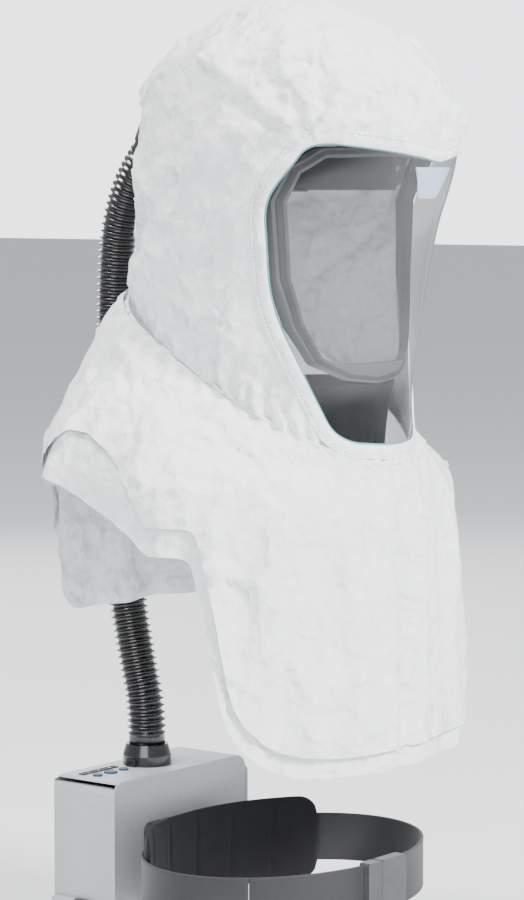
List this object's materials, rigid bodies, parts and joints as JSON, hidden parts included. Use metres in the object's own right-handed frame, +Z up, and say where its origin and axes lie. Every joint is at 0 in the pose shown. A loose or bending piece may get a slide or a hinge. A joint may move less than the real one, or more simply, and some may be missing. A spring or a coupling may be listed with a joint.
{
  "type": "powered air respirator",
  "caption": "Loose white protective hood with wrap-round visor, double bib and inner head harness, fed by a corrugated hose from a belt-carried blower with filter and battery.",
  "frame": {"origin": "centre of the headband, where the wearer's head carries the hood", "axes": "+Z up, the wearer faces -Y, +X is the wearer's left"},
  "size_m": [0.4374, 0.4261, 0.958],
  "materials": {
    "hood_cloth": "coated nonwoven, crisp and slightly creased",
    "visor_clear": "clear film",
    "tab_film": "printed film, satin",
    "dark_textile": "black knitted textile",
    "frame_grey": "moulded, fine grain",
    "seal_black": "matt",
    "amber_clip": "translucent amber",
    "strap_grey": "flexible moulded strap",
    "ratchet_grey": "moulded",
    "white_nylon": "natural nylon",
    "collar_grey": "moulded, light grey",
    "release_blue": "moulded, blue",
    "hose_black": "glossy corrugated",
    "unit_shell": "moulded, spark-eroded grain",
    "unit_trim": "moulded",
    "steel": "turned",
    "board_green": "solder mask",
    "button_rubber": "matt",
    "filter_media": "pleated filter paper",
    "webbing": "woven webbing"
  },
  "bodies": {
    "root": {"air_duct": "collar_grey", "back_pad": "dark_textile", "belt": "webbing", "belt_plate": "unit_trim", "bib_inner": "hood_cloth", "bib_outer": "hood_cloth", "blower_housing_back": "unit_shell", "blower_housing_front": "unit_shell", "bracket_left": "frame_grey", "bracket_right": "frame_grey", "buckle_socket": "unit_trim", "circuit_board": "board_green", "crown_strap_cross": "strap_grey", "crown_strap_long": "strap_grey", "diffuser": "collar_grey", "face_frame": "frame_grey", "face_frame_seal": "seal_black", "forehead_pad": "dark_textile", "frame_clips": "amber_clip", "headband_front": "strap_grey", "hood_back": "hood_cloth", "hood_crown": "hood_cloth", "hood_side_left": "hood_cloth", "hood_side_right": "hood_cloth", "hose": "hose_black", "housing_screws": "steel", "inlet_port": "collar_grey", "inlet_ring": "collar_grey", "motor": "steel", "nape_pad": "dark_textile", "neck_seal": "dark_textile", "outlet_spigot": "unit_trim", "ratchet_cover": "ratchet_grey", "ratchet_housing": "ratchet_grey", "visor": "visor_clear", "visor_hem": "hood_cloth", "visor_tab": "tab_film", "volute": "white_nylon"},
    "knob": {"ratchet_knob": "ratchet_grey", "pinion": "white_nylon"},
    "rack_left_body": {"rack_left": "strap_grey", "band_arm_left": "strap_grey"},
    "rack_right_body": {"rack_right": "strap_grey", "band_arm_right": "strap_grey"},
    "release": {"release_tab": "release_blue"},
    "upper_swivel": {"upper_cuff": "hose_black"},
    "lower_bayonet": {"lower_cuff": "hose_black"},
    "fan": {"impeller": "white_nylon"},
    "power": {"power_button": "button_rubber"},
    "flow_up": {"flow_up_button": "button_rubber"},
    "flow_down": {"flow_down_button": "button_rubber"},
    "filter_unit": {"filter_cover": "unit_shell", "prefilter": "filter_media", "filter_cartridge": "filter_media"},
    "cover_catch": {"cover_latch": "unit_trim"},
    "battery": {"battery_case": "unit_shell"},
    "battery_catch": {"battery_latch": "unit_trim"},
    "buckle": {"buckle_plug": "unit_trim", "belt_tail": "webbing"}
  },
  "joints": [
    {"name": "knob_turn", "type": "hinge", "parent": "root", "child": "knob", "pos_m": [0, 0.112, -0.007], "axis": [0, 1, 0], "range_deg": [-100, 100]},
    {"name": "left_rack_slide", "type": "slide", "parent": "root", "child": "rack_left_body", "axis": [1, 0, 0], "range_m": [-0.0106, 0.0106], "deforming": ["band_arm_left"]},
    {"name": "right_rack_slide", "type": "slide", "parent": "root", "child": "rack_right_body", "axis": [1, 0, 0], "range_m": [-0.0106, 0.0106], "deforming": ["band_arm_right"]},
    {"name": "release_press", "type": "slide", "parent": "root", "child": "release", "axis": [0, -0.766, -0.6428], "range_m": [0, 0.0018], "stiffness_N_per_m": 900, "springref_m": -0.001},
    {"name": "upper_cuff_swivel", "type": "hinge", "parent": "root", "child": "upper_swivel", "pos_m": [0, 0.155, 0.062], "axis": [0, 0.6428, -0.766], "continuous": true},
    {"name": "lower_cuff_twist", "type": "hinge", "parent": "root", "child": "lower_bayonet", "pos_m": [0, 0.194, -0.605], "axis": [0, 0, 1], "range_deg": [0, 30]},
    {"name": "impeller_spin", "type": "hinge", "parent": "root", "child": "fan", "pos_m": [-0.042, 0.194, -0.672], "axis": [0, 1, 0], "continuous": true},
    {"name": "power_press", "type": "slide", "parent": "root", "child": "power", "axis": [0, 0, -1], "range_m": [0, 0.0015], "stiffness_N_per_m": 400, "springref_m": -0.0008},
    {"name": "flow_up_press", "type": "slide", "parent": "root", "child": "flow_up", "axis": [0, 0, -1], "range_m": [0, 0.0015], "stiffness_N_per_m": 400, "springref_m": -0.0008},
    {"name": "flow_down_press", "type": "slide", "parent": "root", "child": "flow_down", "axis": [0, 0, -1], "range_m": [0, 0.0015], "stiffness_N_per_m": 400, "springref_m": -0.0008},
    {"name": "filter_slide", "type": "slide", "parent": "root", "child": "filter_unit", "axis": [1, 0, 0], "range_m": [0, 0.07]},
    {"name": "cover_latch_press", "type": "slide", "parent": "filter_unit", "child": "cover_catch", "axis": [0, 0, -1], "range_m": [0, 0.0025], "stiffness_N_per_m": 400, "springref_m": -0.001},
    {"name": "battery_slide", "type": "slide", "parent": "root", "child": "battery", "axis": [-1, 0, 0], "range_m": [0, 0.06]},
    {"name": "battery_latch_press", "type": "slide", "parent": "battery", "child": "battery_catch", "axis": [0, 0, -1], "range_m": [0, 0.0025], "stiffness_N_per_m": 400, "springref_m": -0.001},
    {"name": "buckle_pull", "type": "slide", "parent": "root", "child": "buckle", "axis": [-1, 0, 0], "range_m": [0, 0.035], "deforming": ["belt_tail"]}
  ],
  "couplings": [
    {"joint": "left_rack_slide", "follows": "knob_turn", "m_per_rad": 0.006},
    {"joint": "right_rack_slide", "follows": "knob_turn", "m_per_rad": -0.006}
  ]
}
